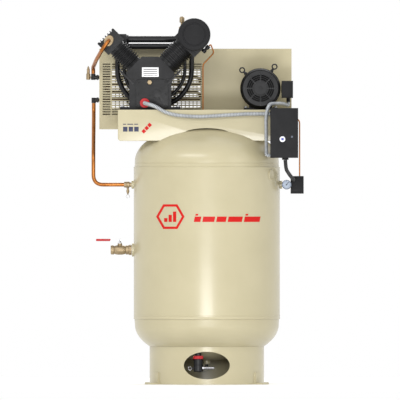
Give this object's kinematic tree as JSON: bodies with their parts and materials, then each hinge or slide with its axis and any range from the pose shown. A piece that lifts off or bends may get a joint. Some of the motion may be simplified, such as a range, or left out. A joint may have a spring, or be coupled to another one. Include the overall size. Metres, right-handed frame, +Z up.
{
  "type": "vertical tank compressor",
  "caption": "Upright air tank on a base ring carrying a V-type belt-driven pump, motor, slotted belt guard, starter box and copper pipework.",
  "frame": {"origin": "on the tank's axis, at floor level under the base ring", "axes": "+Z up along the tank, -Y towards the front, +X to the right seen from the front"},
  "size_m": [1.136, 0.762, 1.917],
  "materials": {
    "tank_paint": "satin cream enamel",
    "copper": "bare copper tube",
    "brass": "cast brass",
    "pump_paint": "black paint on cast iron",
    "filter_plastic": "black moulded plastic",
    "motor_paint": "black enamel",
    "box_paint": "black powder coat",
    "steel": "machined steel",
    "conduit_grey": "grey ribbed conduit",
    "rubber": "black rubber",
    "red_plastic": "red vinyl",
    "white_plastic": "white plastic",
    "black_plastic": "black plastic"
  },
  "bodies": {
    "frame": {"tank_shell": "tank_paint", "base_ring": "tank_paint", "top_platform": "tank_paint", "guard_front": "tank_paint", "guard_rear": "tank_paint", "guard_band": "tank_paint", "aftercooler": "copper", "guard_safety_valve": "brass", "discharge_tube": "copper", "discharge_flange": "brass", "tank_tube": "copper", "check_valve": "brass", "tank_relief": "brass", "crankcase": "pump_paint", "end_cover": "pump_paint", "level_switch": "red_plastic", "oil_plug": "brass", "low_cylinder": "pump_paint", "high_cylinder": "pump_paint", "low_head": "pump_paint", "high_head": "pump_paint", "crossover_upper": "pump_paint", "crossover_lower": "pump_paint", "loop_outer": "pump_paint", "loop_inner": "pump_paint", "intake_filter": "filter_plastic", "unloader": "pump_paint", "interstage_relief": "brass", "drive_belt": "rubber", "motor_shell": "motor_paint", "motor_front_bell": "motor_paint", "motor_base": "motor_paint", "lifting_eye_left": "motor_paint", "lifting_eye_right": "motor_paint", "junction_box": "motor_paint", "starter_tray": "box_paint", "conduit_pump": "conduit_grey", "conduit_motor": "conduit_grey", "conduit_switch": "rubber", "pressure_switch": "box_paint", "manifold_tee": "brass", "gauge_case": "steel", "switch_line": "copper", "unloader_line": "copper", "valve_body": "brass", "drain_body": "black_plastic"},
    "crank": {"crankshaft": "steel", "flywheel": "pump_paint"},
    "rotor": {"motor_rotor": "steel", "motor_pulley": "pump_paint"},
    "piston_low": {"low_piston": "steel"},
    "piston_high": {"high_piston": "steel"},
    "rod_low": {"low_rod": "steel"},
    "rod_high": {"high_rod": "steel"},
    "lever": {"valve_handle": "steel", "valve_grip": "red_plastic"},
    "needle": {"gauge_needle": "black_plastic"},
    "door": {"starter_cover": "box_paint"},
    "button": {"reset_button": "white_plastic"},
    "knob": {"drain_knob": "red_plastic"}
  },
  "joints": [
    {"name": "crank_spin", "type": "hinge", "parent": "frame", "child": "crank", "pos_m": [-0.295, 0, 1.58], "axis": [0, 1, 0], "continuous": true},
    {"name": "rotor_spin", "type": "hinge", "parent": "frame", "child": "rotor", "pos_m": [0.2797, 0, 1.542], "axis": [0, 1, 0], "continuous": true},
    {"name": "low_piston_slide", "type": "slide", "parent": "frame", "child": "piston_low", "axis": [0.7071, 0, 0.7071], "range_m": [-0.07303, 0.01597]},
    {"name": "high_piston_slide", "type": "slide", "parent": "frame", "child": "piston_high", "axis": [-0.7071, 0, 0.7071], "range_m": [-0.07303, 0.01597]},
    {"name": "low_rod_swing", "type": "hinge", "parent": "piston_low", "child": "rod_low", "pos_m": [-0.15462, 0, 1.72038], "axis": [0, 1, 0], "range_deg": [-25.84, 4.51]},
    {"name": "high_rod_swing", "type": "hinge", "parent": "piston_high", "child": "rod_high", "pos_m": [-0.43538, 0.036, 1.72038], "axis": [0, 1, 0], "range_deg": [-4.51, 25.84]},
    {"name": "lever_turn", "type": "hinge", "parent": "frame", "child": "lever", "pos_m": [-0.4535, 0, 0.6995], "axis": [0, 0, 1], "range_deg": [0, 90]},
    {"name": "needle_sweep", "type": "hinge", "parent": "frame", "child": "needle", "pos_m": [0.416, -0.066, 1.04], "axis": [0, 1, 0], "range_deg": [-170, 95], "stiffness_Nm_per_rad": 0.004},
    {"name": "door_swing", "type": "hinge", "parent": "frame", "child": "door", "pos_m": [0.3265, -0.302, 1.3], "axis": [0, 0, -1], "range_deg": [0, 105]},
    {"name": "reset_press", "type": "slide", "parent": "door", "child": "button", "axis": [0, 1, 0], "range_m": [0, 0.004], "stiffness_N_per_m": 400},
    {"name": "drain_turn", "type": "hinge", "parent": "frame", "child": "knob", "pos_m": [-0.045, -0.257, 0.14], "axis": [0, 0, 1], "range_deg": [0, 270]}
  ],
  "couplings": [
    {"joint": "rotor_spin", "follows": "crank_spin", "ratio": 2.3134}
  ]
}
